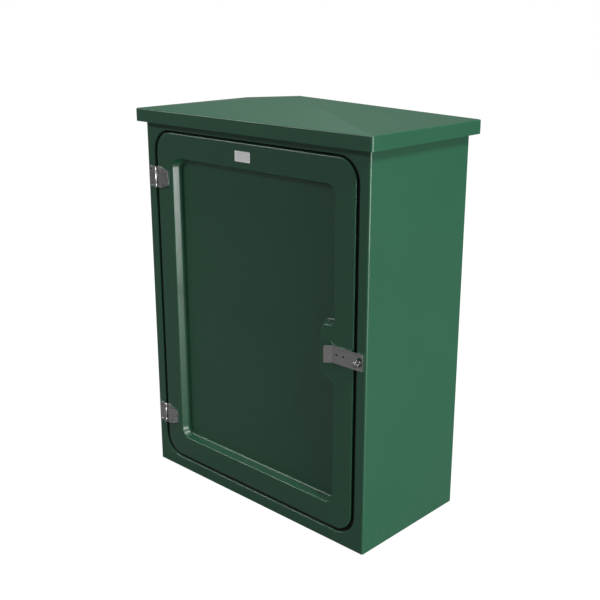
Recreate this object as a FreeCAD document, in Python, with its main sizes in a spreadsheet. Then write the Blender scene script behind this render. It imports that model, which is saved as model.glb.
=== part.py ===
import FreeCAD, Part
import math
import os
import re
import Sketcher

# Roadside cabinet moulded in glass-reinforced plastic: an open-based body, a bonded hipped roof canopy, and
# a panelled door on two butt hinges, held shut by a hasp over a turning padlock staple.
# Millimetres. Origin on the ground at the middle of the body's plan, +Z up, the door in the face towards -Y.

doc = FreeCAD.newDocument("RoadsideCabinet")

sizes = [
    # body moulding
    ("body_width", 800),
    ("body_depth", 385),
    ("body_height", 1020),         # ground to the underside of the roof's fascia
    ("body_corner", 5),
    ("inside_corner", 3),
    ("wall", 5),
    ("base_flange_width", 75),
    ("base_flange_thickness", 8),
    ("base_flange_corner", 20),
    ("top_flange_width", 35),
    ("anchor_inset", 50),          # outside of the body to the middle of an anchor hole
    ("anchor_hole", 14),
    # door opening in the front wall
    ("stile", 31),
    ("sill", 33),
    ("head", 18.5),
    ("opening_corner", 62),
    ("opening_edge", 4),
    ("return_wall", 4),
    ("lip_width", 22),
    # door moulding
    ("gap_side", 10),
    ("gap_bottom", 8),
    ("gap_top", 5),
    ("door_depth", 30),
    ("door_edge", 3.7),
    ("skin", 4),
    ("recess_side", 63),
    ("recess_bottom", 62.5),
    ("recess_top", 66),
    ("recess_depth", 22),
    ("recess_corner", 28),
    ("recess_draft", 20),
    ("recess_edge", 3.8),
    ("recess_floor_edge", 8),
    ("boss_reach", 43),            # lock boss: how far the stile's level runs into the recess
    ("boss_height", 140),
    ("boss_corner", 19),
    ("boss_root", 16),
    # door seal
    ("seal_face", 6),              # front of the body back to the seal's front
    ("seal_clearance", 2),
    ("seal_foot", 3),
    ("seal_foot_width", 16),
    ("seal_squeeze", 0.3),
    # raised pads moulded under the metalwork
    ("pad_height", 2),
    ("pad_margin", 2.5),
    ("pad_edge", 0.8),
    # hinges
    ("lower_hinge", 160),          # ground up to its middle
    ("upper_hinge_drop", 150),     # underside of the fascia down to its middle
    ("barrel_height", 58.5),
    ("middle_knuckle", 34),
    ("knuckle_gap", 0.3),
    ("knuckle_notch", 2.5),
    ("knuckle_seam", 0.4),
    ("leaf_thickness", 2),
    ("axis_stand", 5),             # front of the body out to the pin's axis
    ("pin_diameter", 5.4),
    ("pin_clearance", 0.05),
    ("pin_proud", 0.9),
    ("frame_leaf_reach", 28),
    ("frame_leaf_chamfer", 5),
    ("frame_screw_reach", 19),
    ("door_leaf_reach", 53),
    ("door_leaf_shoulder", 21),
    ("door_leaf_end", 36),
    ("door_leaf_corner", 3),
    ("door_screw_inner", 28),
    ("door_screw_outer", 47),
    ("leaf_screw_spread", 20),
    # hasp
    ("lock_rise", 5),              # middle of the body's height up to the hasp and the staple
    ("hasp_height", 44),
    ("hasp_thickness", 2),
    ("hasp_bend", 64),             # door's edge back to the bend of the pull tab
    ("hasp_bend_inside", 1.5),
    ("hasp_end", 10.5),            # staple's axis out to the end of the plate
    ("hasp_corner", 3),
    ("hasp_clearance", 0.3),
    ("tab_length", 23),
    ("tab_angle", 45),
    ("hasp_screw_inner", 13),
    ("hasp_screw_outer", 35),
    ("pad_lead", 4),               # bend of the tab back to the end of the door's pad
    ("pad_flare", 5.5),
    ("slot_width", 13),
    ("slot_height", 24),
    ("slot_flat", 1),
    # staple
    ("staple_inset", 18.5),        # side of the body in to the staple's axis
    ("staple_clearance", 0.1),
    ("neck_diameter", 12),
    ("neck_top", 8.5),
    ("neck_edge", 1),
    ("shank_diameter", 8),
    ("shank_end", 2),
    ("eye_reach", 15.5),
    ("eye_radius", 9.5),
    ("eye_hole", 9.5),
    ("eye_thickness", 7),
    ("eye_edge", 1.6),
    ("staple_washer_outside", 15.5),
    ("staple_washer_thickness", 1.6),
    ("staple_nut_flats", 13),
    ("staple_nut_thickness", 6.5),
    # countersunk screws, washers and nuts
    ("screw_diameter", 4),
    ("screw_length", 16),
    ("screw_head", 7.6),
    ("screw_land", 0.2),
    ("screw_seat", 0.05),
    ("screw_clearance", 0.25),
    ("thread_clearance", 0.05),
    ("washer_outside", 9),
    ("washer_thickness", 0.8),
    ("nut_flats", 7),
    ("nut_thickness", 3.2),
    # roof canopy
    ("roof_overhang", 20),
    ("fascia", 35),
    ("roof_rise", 45),
    ("roof_wall", 5),
    ("roof_corner", 6),
    ("roof_edge", 3),
    ("roof_lap", 27),              # underside of the fascia up to the seat on the body
    ("ledge_width", 50),
    ("ledge_thickness", 8),
    # label plate
    ("label_width", 54),
    ("label_height", 27),
    ("label_thickness", 1),
    ("label_border", 1.6),
    ("label_field", 0.3),
    ("label_corner", 1.5),
    ("label_offset", 16),
    ("label_drop", 35),
    # backboard
    ("board_width", 700),
    ("board_thickness", 12),
    ("board_foot", 80),
    ("board_head", 80),            # underside of the fascia down to the board's top
    ("batten_width", 45),
    ("batten_depth", 20),
    ("batten_inset", 60),
    ("batten_short", 30),
    ("board_screw_length", 28),
    ("board_screw_margin", 70),
]

sheet = doc.addObject("Spreadsheet::Sheet", "Sizes")
for row, (alias, amount) in enumerate(sizes, start=1):
    sheet.set(f"A{row}", alias)
    sheet.set(f"B{row}", str(amount))
    sheet.setAlias(f"B{row}", alias)
doc.recompute()

aliases = {alias for alias, amount in sizes}
match = 0.01                       # how near an edge counts as lying at a place

# Places worked out from the sizes
front = "(-body_depth / 2)"
opening_side = "(body_width / 2 - stile)"
opening_top = "(body_height - head)"
door_side = f"({opening_side} - gap_side)"
door_bottom = "(sill + gap_bottom)"
door_top = f"({opening_top} - gap_top)"
door_corner = "(opening_corner - gap_bottom)"
recess_right = f"({door_side} - recess_side)"
recess_low = f"({door_bottom} + recess_bottom)"
recess_high = f"({door_top} - recess_top)"
lip_front = "(door_depth + seal_squeeze + seal_foot)"
body_top = "(body_height + roof_lap)"
upper_hinge = "(body_height - upper_hinge_drop)"
lock_height = "(body_height / 2 + lock_rise)"
board_height = "(body_height - board_foot - board_head)"
eaves = "(body_height + fascia)"
axis_x = f"(-{opening_side} + gap_side / 2)"
axis_y = f"({front} - axis_stand)"
leaf_back = "(axis_stand - pad_height)"
leaf_front = "(axis_stand - pad_height - leaf_thickness)"
bore_radius = "(pin_diameter / 2 + pin_clearance)"
barrel_radius = f"({bore_radius} + leaf_thickness)"
hole_radius = "(screw_diameter / 2 + screw_clearance)"
countersink = f"(screw_head / 2 + screw_land + screw_seat - {hole_radius})"
hasp_bend_x = f"({door_side} - hasp_bend)"
staple_x = "(body_width / 2 - staple_inset)"
hasp_screw_places = [f"({hasp_bend_x} + hasp_screw_inner)", f"({hasp_bend_x} + hasp_screw_outer)"]
board_back = "(body_depth / 2 - wall - batten_depth)"
board_front = f"({board_back} - board_thickness)"
batten_x = "(board_width / 2 - batten_inset)"
board_screw_heights = ["(board_foot + board_screw_margin)", f"(board_foot + {board_height} / 2)",
                       f"(board_foot + {board_height} - board_screw_margin)"]
hinges = [("lower", "lower_hinge"), ("upper", upper_hinge)]
hinge_heights = [height for side, height in hinges]
frame_screw_places = [("-frame_screw_reach", "-leaf_screw_spread"),
                      ("-frame_screw_reach", "leaf_screw_spread")]
door_screw_places = [("door_screw_inner", "-leaf_screw_spread"), ("door_screw_inner", "leaf_screw_spread"),
                     ("door_screw_outer", "0")]

parts = []


def bound(formula):
    """The formula with each size's name pointed at its cell in the sheet."""
    return re.sub(r"[a-z_]+", lambda word: "Sizes." + word[0] if word[0] in aliases else word[0], formula)


def number(formula):
    """What the formula comes to with the sheet's present sizes."""
    return float(sheet.evalExpression(bound(formula)))


# Sketching

def sketch_on(body, name, plane, offset="0"):
    """A sketch on one of the body's origin planes, moved along that plane's normal."""
    sketch = body.newObject("Sketcher::SketchObject", name)
    origin_plane = next(item for item in body.Origin.OriginFeatures if item.Role == plane)
    sketch.AttachmentSupport = [(origin_plane, "")]
    sketch.MapMode = "FlatFace"
    sketch.setExpression("AttachmentOffset.Base.z", bound(offset))
    return sketch


def constrain(sketch, kind, *where, formula=None):
    """Add a constraint, tied to the sheet where it has a formula."""
    if formula is None:
        return sketch.addConstraint(Sketcher.Constraint(kind, *where))
    index = sketch.addConstraint(Sketcher.Constraint(kind, *where, number(formula)))
    sketch.setExpression(f"Constraints[{index}]", bound(formula))
    return index


def fix_point(sketch, item, end, x, y):
    constrain(sketch, "DistanceX", -1, 1, item, end, formula=x)
    constrain(sketch, "DistanceY", -1, 1, item, end, formula=y)


def draw_circle(sketch, x, y, radius):
    centre = FreeCAD.Vector(number(x), number(y), 0)
    circle = sketch.addGeometry(Part.Circle(centre, FreeCAD.Vector(0, 0, 1), number(radius)), False)
    fix_point(sketch, circle, 3, x, y)
    constrain(sketch, "Radius", circle, formula=radius)


def draw_polygon(sketch, points):
    """A closed outline of straight lines through the given points."""
    corners = [FreeCAD.Vector(number(x), number(y), 0) for x, y in points]
    lines = [sketch.addGeometry(Part.LineSegment(corner, corners[(i + 1) % len(corners)]), False)
             for i, corner in enumerate(corners)]
    for i, line in enumerate(lines):
        constrain(sketch, "Coincident", line, 2, lines[(i + 1) % len(lines)], 1)
        fix_point(sketch, line, 1, *points[i])


def draw_loop(sketch, sides, radii):
    """A closed outline of upright and level lines in turn, each corner rounded by its own radius or sharp.

    A side is ("x", place) for an upright line or ("y", place) for a level one, and radii[i] rounds the
    corner between side i and the next.
    """
    count = len(sides)
    places = [number(place) for axis, place in sides]
    corners = []
    for i, (axis, place) in enumerate(sides):
        following = places[(i + 1) % count]
        corners.append(FreeCAD.Vector(places[i], following, 0) if axis == "x"
                       else FreeCAD.Vector(following, places[i], 0))
    runs = [(corners[i] - corners[i - 1]).normalize() for i in range(count)]
    rounding = [number(radius) if radius else 0 for radius in radii]
    lines = []
    for i in range(count):
        start = corners[i - 1] + runs[i] * rounding[i - 1]
        end = corners[i] - runs[i] * rounding[i]
        lines.append(sketch.addGeometry(Part.LineSegment(start, end), False))
        axis, place = sides[i]
        constrain(sketch, "Vertical" if axis == "x" else "Horizontal", lines[i])
        constrain(sketch, "DistanceX" if axis == "x" else "DistanceY", -1, 1, lines[i], 1, formula=place)
    for i in range(count):
        following = (i + 1) % count
        if not radii[i]:
            constrain(sketch, "Coincident", lines[i], 2, lines[following], 1)
            continue
        centre = corners[i] + (runs[following] - runs[i]) * rounding[i]
        turns_left = runs[i].cross(runs[following]).z > 0
        begin = -runs[following] if turns_left else runs[i]
        angle = math.atan2(begin.y, begin.x)
        circle = Part.Circle(centre, FreeCAD.Vector(0, 0, 1), rounding[i])
        arc = sketch.addGeometry(Part.ArcOfCircle(circle, angle, angle + math.pi / 2), False)
        constrain(sketch, "Tangent", lines[i], 2, arc, 1 if turns_left else 2)
        constrain(sketch, "Tangent", lines[following], 1, arc, 2 if turns_left else 1)
        constrain(sketch, "Radius", arc, formula=radii[i])


def draw_rectangle(sketch, left, right, low, high, radius=None):
    draw_loop(sketch, [("y", low), ("x", right), ("y", high), ("x", left)], [radius] * 4)


def draw_plan(sketch, inset, radius):
    """A rectangle the given distance inside the body's plan."""
    side = f"(body_width / 2 - ({inset}))"
    end = f"(body_depth / 2 - ({inset}))"
    draw_rectangle(sketch, f"-{side}", side, f"-{end}", end, radius)


def draw_opening(sketch, inset):
    """The door opening's outline, brought in by the given distance."""
    side = f"({opening_side} - ({inset}))"
    draw_rectangle(sketch, f"-{side}", side, f"sill + ({inset})", f"{opening_top} - ({inset})",
                   f"opening_corner - ({inset})")


def draw_door(sketch, inset):
    """The door's outline, brought in by the given distance."""
    side = f"({door_side} - ({inset}))"
    draw_rectangle(sketch, f"-{side}", side, f"{door_bottom} + ({inset})", f"{door_top} - ({inset})",
                   f"{door_corner} - ({inset})")


# Features

def new_body(label, x="0", y="0", z="0", turn=0):
    """A body at its place in the cabinet, turned about its X axis."""
    body = doc.addObject("PartDesign::Body", label)
    body.Label = label
    body.Placement = FreeCAD.Placement(FreeCAD.Vector(), FreeCAD.Rotation(FreeCAD.Vector(1, 0, 0), turn))
    for axis, place in zip("xyz", (x, y, z)):
        body.setExpression(f"Placement.Base.{axis}", bound(place))
    return body


def extrude(body, kind, sketch, length=None, backwards=False, centred=False, taper=None):
    """A pad or a pocket of the sketch. Without a length it goes right through, both ways."""
    feature = body.newObject(f"PartDesign::{kind}", f"{sketch.Name}_{kind.lower()}")
    feature.Profile = sketch
    feature.Reversed = backwards
    if length is None:
        feature.Type = "ThroughAll"
        feature.SideType = "Symmetric"
    else:
        feature.setExpression("Length", bound(length))
        feature.SideType = "Symmetric" if centred else "One side"
    if taper:
        feature.setExpression("TaperAngle", bound(taper))
    sketch.Visibility = False
    doc.recompute()
    return feature


def pad(body, sketch, length, **options):
    return extrude(body, "Pad", sketch, length, **options)


def pocket(body, sketch, length=None, **options):
    return extrude(body, "Pocket", sketch, length, **options)


def dress(body, kind, name, amount, wanted):
    """A fillet or chamfer on the body's edges that pass the test, in the body's own axes."""
    previous = body.Tip
    feature = body.newObject(f"PartDesign::{kind}", name)
    edges = [f"Edge{i}" for i, edge in enumerate(previous.Shape.Edges, start=1) if wanted(edge)]
    feature.Base = (previous, edges)
    feature.setExpression("Radius" if kind == "Fillet" else "Size", bound(amount))
    doc.recompute()
    return feature


def lies_at(axis, formula):
    """A test for edges that lie in one plane."""
    place = number(formula)
    low, high = axis.upper() + "Min", axis.upper() + "Max"
    return lambda edge: (abs(getattr(edge.BoundBox, low) - place) < match
                         and abs(getattr(edge.BoundBox, high) - place) < match)


def is_hole(radius):
    """A test for round edges of one radius."""
    size = number(radius)
    return lambda edge: hasattr(edge.Curve, "Radius") and abs(edge.Curve.Radius - size) < match


def both(first, second):
    return lambda edge: first(edge) and second(edge)


# Sub-parts

def draw_frame_leaf_pad(sketch, height):
    """The outline of the pad under a hinge's frame leaf."""
    outer = f"({axis_x} - frame_leaf_reach - pad_margin)"
    inner = f"(-{opening_side} - opening_edge)"
    high = f"({height} + barrel_height / 2 + pad_margin)"
    low = f"({height} - barrel_height / 2 - pad_margin)"
    draw_polygon(sketch, [(inner, low), (inner, high), (f"{outer} + frame_leaf_chamfer", high),
                          (outer, f"{high} - frame_leaf_chamfer"), (outer, f"{low} + frame_leaf_chamfer"),
                          (f"{outer} + frame_leaf_chamfer", low)])


def draw_door_leaf_pad(sketch, height):
    """The outline of the pad under a hinge's door leaf."""
    inner = f"(-{door_side} + door_edge)"
    shoulder = f"({axis_x} + door_leaf_shoulder)"
    outer = f"({axis_x} + door_leaf_reach + pad_margin)"
    half = "(barrel_height / 2 + pad_margin)"
    end = "(door_leaf_end / 2 + pad_margin)"
    draw_polygon(sketch, [(inner, f"{height} - {half}"), (shoulder, f"{height} - {half}"),
                          (outer, f"{height} - {end}"), (outer, f"{height} + {end}"),
                          (shoulder, f"{height} + {half}"), (inner, f"{height} + {half}")])


def draw_hasp_pad(sketch):
    """The outline of the door's pad under the hasp, which flares round the bend of the pull tab."""
    inner = f"({hasp_bend_x} - pad_lead)"
    outer = f"({door_side} - door_edge)"
    half = "(hasp_height / 2 + pad_margin)"
    draw_polygon(sketch, [(outer, f"{lock_height} - {half}"), (outer, f"{lock_height} + {half}"),
                          (f"{inner} + pad_flare", f"{lock_height} + {half}"),
                          (inner, f"{lock_height} + {half} + pad_flare"),
                          (inner, f"{lock_height} - {half} - pad_flare"),
                          (f"{inner} + pad_flare", f"{lock_height} - {half}")])


def make_body_shell():
    body = new_body("body_shell")
    walls = sketch_on(body, "walls", "XY_Plane")
    draw_plan(walls, "0", "body_corner")
    draw_plan(walls, "wall", "inside_corner")
    pad(body, walls, body_top)

    flange = sketch_on(body, "base_flange", "XY_Plane")
    draw_plan(flange, "wall", "inside_corner")
    draw_plan(flange, "base_flange_width", "base_flange_corner")
    pad(body, flange, "base_flange_thickness")

    flange = sketch_on(body, "top_flange", "XY_Plane", body_top)
    draw_plan(flange, "wall", "inside_corner")
    draw_plan(flange, "top_flange_width", "base_flange_corner")
    pad(body, flange, "wall", backwards=True)

    block = sketch_on(body, "frame_return", "XZ_Plane", f"-{front}")
    draw_opening(block, "-return_wall")
    pad(body, block, f"{lip_front} + return_wall", backwards=True)
    opening = sketch_on(body, "opening", "XZ_Plane", f"-{front}")
    draw_opening(opening, "0")
    pocket(body, opening, lip_front)
    window = sketch_on(body, "lip_window", "XZ_Plane", f"-{front}")
    draw_opening(window, "lip_width")
    pocket(body, window, f"{lip_front} + 2 * return_wall")
    inside = number(f"{opening_side} + opening_edge")
    dress(body, "Fillet", "opening_edge_round", "opening_edge",
          both(lies_at("y", front), lambda edge: abs(edge.BoundBox.Center.x) < inside
               and edge.BoundBox.ZMin > number("sill") - match
               and edge.BoundBox.ZMax < number(opening_top) + match))

    hinge_pads = sketch_on(body, "frame_leaf_pads", "XZ_Plane", f"-{front}")
    for height in hinge_heights:
        draw_frame_leaf_pad(hinge_pads, height)
    pad(body, hinge_pads, "pad_height")
    dress(body, "Fillet", "frame_leaf_pad_round", "pad_edge", lies_at("y", f"{front} - pad_height"))
    hasp_rest = sketch_on(body, "hasp_rest", "XZ_Plane", f"-{front}")
    draw_rectangle(hasp_rest, f"{opening_side} + opening_edge", f"{staple_x} + hasp_end + pad_margin",
                   f"{lock_height} - hasp_height / 2 - pad_margin",
                   f"{lock_height} + hasp_height / 2 + pad_margin")
    pad(body, hasp_rest, "pad_height - hasp_clearance")
    dress(body, "Fillet", "hasp_rest_round", "pad_edge",
          lies_at("y", f"{front} - pad_height + hasp_clearance"))

    holes = sketch_on(body, "metalwork_holes", "XZ_Plane", f"-{front} + pad_height")
    for height in hinge_heights:
        for x, z in frame_screw_places:
            draw_circle(holes, f"{axis_x} + {x}", f"{height} + {z}", hole_radius)
    draw_circle(holes, staple_x, lock_height, "shank_diameter / 2 + pin_clearance")
    pocket(body, holes, "pad_height + 2 * wall")

    anchors = sketch_on(body, "anchor_holes", "XY_Plane", "base_flange_thickness")
    for x in ("(body_width / 2 - anchor_inset)", "-(body_width / 2 - anchor_inset)"):
        for y in ("(body_depth / 2 - anchor_inset)", "-(body_depth / 2 - anchor_inset)"):
            draw_circle(anchors, x, y, "anchor_hole / 2")
    pocket(body, anchors, "base_flange_thickness")
    parts.append(body)


def loft(body, kind, low, apex_height):
    """A loft from the sketch up to one point over the middle of the plan."""
    tip = sketch_on(body, f"{low.Name}_apex", "XY_Plane", apex_height)
    tip.addGeometry(Part.Point(FreeCAD.Vector(0, 0, 0)), False)
    constrain(tip, "Coincident", 0, 1, -1, 1)
    feature = body.newObject(f"PartDesign::{kind}", f"{low.Name}_loft")
    feature.Profile = low
    feature.Sections = [(tip, ["Vertex1"])]
    feature.Ruled = True
    doc.recompute()


def make_roof_canopy():
    body = new_body("roof_canopy")
    block = sketch_on(body, "fascia_outline", "XY_Plane", "body_height")
    draw_plan(block, "-roof_overhang", "roof_corner")
    pad(body, block, "fascia")
    slopes = sketch_on(body, "slopes", "XY_Plane", eaves)
    draw_plan(slopes, "-roof_overhang", "roof_corner")
    loft(body, "AdditiveLoft", slopes, f"{eaves} + roof_rise")
    dress(body, "Fillet", "eaves_round", "roof_edge", lies_at("z", eaves))

    inside = sketch_on(body, "canopy_inside", "XY_Plane", "body_height")
    draw_plan(inside, "roof_wall - roof_overhang", "inside_corner")
    pocket(body, inside, "fascia - roof_wall", backwards=True)
    hollow = sketch_on(body, "slopes_inside", "XY_Plane", f"{eaves} - roof_wall")
    draw_plan(hollow, "roof_wall - roof_overhang", "inside_corner")
    loft(body, "SubtractiveLoft", hollow, f"{eaves} + roof_rise - roof_wall")

    ledge = sketch_on(body, "seat_ledge", "XY_Plane", body_top)
    draw_plan(ledge, "roof_wall - roof_overhang", "inside_corner")
    draw_plan(ledge, "roof_wall - roof_overhang + ledge_width", "base_flange_corner")
    pad(body, ledge, "ledge_thickness")
    parts.append(body)


def draw_recess(sketch, outset):
    """The recess's outline, let out by the given distance. It keeps clear of the lock boss, which carries
    the stile's level inwards."""
    side = f"({recess_right} + {outset})"
    low = f"({lock_height} - boss_height / 2 + {outset})"
    high = f"({lock_height} + boss_height / 2 - {outset})"
    wide = f"recess_corner + {outset}"
    draw_loop(sketch,
              [("y", f"{recess_low} - {outset}"), ("x", side), ("y", low), ("x", f"{side} - boss_reach"),
               ("y", high), ("x", side), ("y", f"{recess_high} + {outset}"), ("x", f"-{side}")],
              [wide, f"boss_root + {outset}", f"boss_corner - {outset}", f"boss_corner - {outset}",
               f"boss_root + {outset}", wide, wide, wide])


def at_recess_mouth(edge):
    """Whether an edge of the door's face runs round the recess."""
    middle = edge.BoundBox.Center
    return (lies_at("y", front)(edge) and abs(middle.x) < number(recess_right) + match
            and number(recess_low) - match < middle.z < number(recess_high) + match)


def make_door():
    body = new_body("door")
    outline = sketch_on(body, "door_outline", "XZ_Plane", f"-{front}")
    draw_door(outline, "0")
    pad(body, outline, "door_depth", backwards=True)
    tray = sketch_on(body, "door_tray", "XZ_Plane", f"-{front} - door_depth")
    draw_door(tray, "skin")
    pocket(body, tray, "door_depth - skin", backwards=True)
    pan = sketch_on(body, "pan", "XZ_Plane", f"-{front}")
    draw_recess(pan, "skin")
    pad(body, pan, "recess_depth + skin", backwards=True, taper="-recess_draft")
    recess = sketch_on(body, "recess", "XZ_Plane", f"-{front}")
    draw_recess(recess, "0")
    pocket(body, recess, "recess_depth", taper="-recess_draft")
    dress(body, "Fillet", "door_edge_round", "door_edge",
          lambda edge: lies_at("y", front)(edge) and not at_recess_mouth(edge))
    dress(body, "Fillet", "recess_edge_round", "recess_edge", at_recess_mouth)
    dress(body, "Fillet", "recess_floor_round", "recess_floor_edge",
          lies_at("y", f"{front} + recess_depth"))

    pads = sketch_on(body, "door_pads", "XZ_Plane", f"-{front}")
    for height in hinge_heights:
        draw_door_leaf_pad(pads, height)
    draw_hasp_pad(pads)
    pad(body, pads, "pad_height")
    dress(body, "Fillet", "door_pad_round", "pad_edge", lies_at("y", f"{front} - pad_height"))
    holes = sketch_on(body, "door_holes", "XZ_Plane", f"-{front} + pad_height")
    for height in hinge_heights:
        for x, z in door_screw_places:
            draw_circle(holes, f"{axis_x} + {x}", f"{height} + {z}", hole_radius)
    for x in hasp_screw_places:
        draw_circle(holes, x, lock_height, hole_radius)
    pocket(body, holes, "pad_height + 2 * skin")
    parts.append(body)


def make_door_seal():
    """A rubber L-section in the rebate: one leg lines the gap round the door, the other lies behind it."""
    body = new_body("door_seal")
    ring = sketch_on(body, "seal_ring", "XZ_Plane", f"-{front} - seal_face")
    draw_opening(ring, "0")
    draw_door(ring, "-seal_clearance")
    pad(body, ring, f"{lip_front} - seal_face", backwards=True)
    foot = sketch_on(body, "seal_foot_ring", "XZ_Plane", f"-{front} - {lip_front}")
    draw_opening(foot, "0")
    draw_opening(foot, "seal_foot_width")
    pad(body, foot, "seal_foot")
    parts.append(body)


def draw_knuckle_section(sketch, reach, hand):
    """A hinge leaf seen from above: a strip that runs in from its outer end and curls right round the pin,
    behind it first, back to a narrow seam against its own front face. hand is 1 for a leaf to the right."""
    centre = FreeCAD.Vector(0, 0, 0)
    bore, outside = number(bore_radius), number(barrel_radius)
    near, far = number(leaf_front), number(leaf_back)
    seam = number(f"{leaf_front} - knuckle_seam")
    end = hand * number(reach)

    def on_circle(radius, y):
        return FreeCAD.Vector(hand * math.sqrt(radius ** 2 - y ** 2), y, 0)

    def curl(radius, y):
        """The arc of the given radius from height y on the leaf's side round to the seam."""
        first, last = math.asin(y / radius), 2 * math.pi + math.asin(seam / radius)
        if hand < 0:
            first, last = math.pi - last, math.pi - first
        circle = Part.Circle(centre, FreeCAD.Vector(0, 0, 1), radius)
        return sketch.addGeometry(Part.ArcOfCircle(circle, first, last), False)

    def line(start, finish):
        return sketch.addGeometry(Part.LineSegment(start, finish), False)

    first, last = (1, 2) if hand > 0 else (2, 1)
    inner_arc = curl(bore, near)
    outer_arc = curl(outside, far)
    face = line(FreeCAD.Vector(end, near, 0), on_circle(bore, near))
    gap = line(on_circle(bore, seam), on_circle(outside, seam))
    back = line(on_circle(outside, far), FreeCAD.Vector(end, far, 0))
    tip = line(FreeCAD.Vector(end, far, 0), FreeCAD.Vector(end, near, 0))
    for item, end_point, other, other_point in ((face, 2, inner_arc, first), (inner_arc, last, gap, 1),
                                                (gap, 2, outer_arc, last), (outer_arc, first, back, 1),
                                                (back, 2, tip, 1), (tip, 2, face, 1)):
        constrain(sketch, "Coincident", item, end_point, other, other_point)
    for arc, radius in ((inner_arc, bore_radius), (outer_arc, barrel_radius)):
        constrain(sketch, "Coincident", arc, 3, -1, 1)
        constrain(sketch, "Radius", arc, formula=radius)
    for level, place in ((face, leaf_front), (gap, f"{leaf_front} - knuckle_seam"), (back, leaf_back)):
        constrain(sketch, "Horizontal", level)
        constrain(sketch, "DistanceY", -1, 1, level, 1, formula=place)
    constrain(sketch, "Vertical", tip)
    constrain(sketch, "DistanceX", -1, 1, tip, 1, formula=reach if hand > 0 else f"-{reach}")


def start_leaf(label, height, reach, hand):
    """A leaf of full height on the pin's axis, curled round the pin all the way up."""
    body = new_body(label, axis_x, axis_y, height)
    section = sketch_on(body, f"{label}_section", "XY_Plane")
    draw_knuckle_section(section, reach, hand)
    pad(body, section, "barrel_height", centred=True)
    return body


def finish_leaf(body, places):
    """Drill and countersink the screw holes from the front."""
    holes = sketch_on(body, f"{body.Name}_holes", "XZ_Plane")
    for x, z in places:
        draw_circle(holes, x, z, hole_radius)
    pocket(body, holes)
    dress(body, "Chamfer", f"{body.Name}_countersinks", countersink,
          both(is_hole(hole_radius), lies_at("y", leaf_front)))
    parts.append(body)


def make_frame_leaf(side, height):
    """The leaf on the frame: it keeps only the middle knuckle."""
    body = start_leaf(f"{side}_frame_leaf", height, "frame_leaf_reach", -1)
    dress(body, "Chamfer", f"{side}_frame_leaf_corners", "frame_leaf_chamfer",
          both(lies_at("x", "-frame_leaf_reach"),
               lambda edge: edge.BoundBox.ZLength < match))
    ends = sketch_on(body, f"{side}_frame_leaf_ends", "XZ_Plane")
    for sign in ("", "-"):
        draw_rectangle(ends, f"-({barrel_radius} + knuckle_notch)", f"{barrel_radius} + knuckle_notch",
                       f"{sign}middle_knuckle / 2", f"{sign}barrel_height")
    pocket(body, ends)
    finish_leaf(body, frame_screw_places)


def make_door_leaf(side, height):
    """The leaf on the door: it keeps the top and bottom knuckles and tapers to a short outer edge."""
    body = start_leaf(f"{side}_door_leaf", height, "door_leaf_reach", 1)
    middle = sketch_on(body, f"{side}_door_leaf_middle", "XZ_Plane")
    half = "(middle_knuckle / 2 + knuckle_gap)"
    draw_rectangle(middle, f"-({barrel_radius} + knuckle_notch)", f"{barrel_radius} + knuckle_notch",
                   f"-{half}", half)
    pocket(body, middle)
    tapers = sketch_on(body, f"{side}_door_leaf_tapers", "XZ_Plane")
    for sign in ("", "-"):
        draw_polygon(tapers, [("door_leaf_shoulder", f"{sign}barrel_height / 2"),
                              ("door_leaf_reach", f"{sign}door_leaf_end / 2"),
                              ("door_leaf_reach + pad_margin", f"{sign}door_leaf_end / 2"),
                              ("door_leaf_reach + pad_margin", f"{sign}barrel_height"),
                              ("door_leaf_shoulder", f"{sign}barrel_height")])
    pocket(body, tapers)
    dress(body, "Fillet", f"{side}_door_leaf_corners", "door_leaf_corner",
          both(lies_at("x", "door_leaf_reach"),
               lambda edge: edge.BoundBox.ZLength < match))
    finish_leaf(body, door_screw_places)


def make_hinge_pin(side, height):
    body = new_body(f"{side}_hinge_pin", axis_x, axis_y, height)
    section = sketch_on(body, f"{side}_pin_section", "XY_Plane")
    draw_circle(section, "0", "0", "pin_diameter / 2")
    pad(body, section, "barrel_height + 2 * pin_proud", centred=True)
    dress(body, "Chamfer", f"{side}_pin_ends", "pin_proud", is_hole("pin_diameter / 2"))
    parts.append(body)


# Fasteners are drawn once, head up on their own Z axis, and copied to their places with +Z facing forwards

def draw_screw(label, length):
    """A countersunk screw, its head's top at the origin."""
    body = new_body(label)
    half = sketch_on(body, f"{label}_half", "XZ_Plane")
    draw_polygon(half, [("0", "0"), ("screw_head / 2", "0"), ("screw_head / 2", "-screw_land"),
                        ("screw_diameter / 2", "-screw_land - (screw_head - screw_diameter) / 2"),
                        ("screw_diameter / 2", f"-{length}"), ("0", f"-{length}")])
    turn_profile(body, half, "V_Axis")
    return body


def turn_profile(body, section, axis):
    """A full turn of a section about one of its sketch's own axes."""
    feature = body.newObject("PartDesign::Revolution", f"{section.Name}_turned")
    feature.Profile = section
    feature.ReferenceAxis = (section, [axis])
    feature.Angle = 360
    doc.recompute()


def draw_washer(label, outside, bore, thickness, **place):
    body = new_body(label, **place)
    rings = sketch_on(body, f"{label}_rings", "XY_Plane")
    draw_circle(rings, "0", "0", outside)
    draw_circle(rings, "0", "0", bore)
    pad(body, rings, thickness, backwards=True)
    return body


def draw_nut(label, flats, bore, thickness, **place):
    body = new_body(label, **place)
    hexagon = sketch_on(body, f"{label}_hexagon", "XY_Plane")
    half, corner = f"{flats} / 2", f"({flats} / sqrt(3))"
    draw_polygon(hexagon, [("0", corner), (f"-{half}", f"{corner} / 2"), (f"-{half}", f"-{corner} / 2"),
                           ("0", f"-{corner}"), (half, f"-{corner} / 2"), (half, f"{corner} / 2")])
    draw_circle(hexagon, "0", "0", bore)
    pad(body, hexagon, thickness, backwards=True)
    return body


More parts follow.
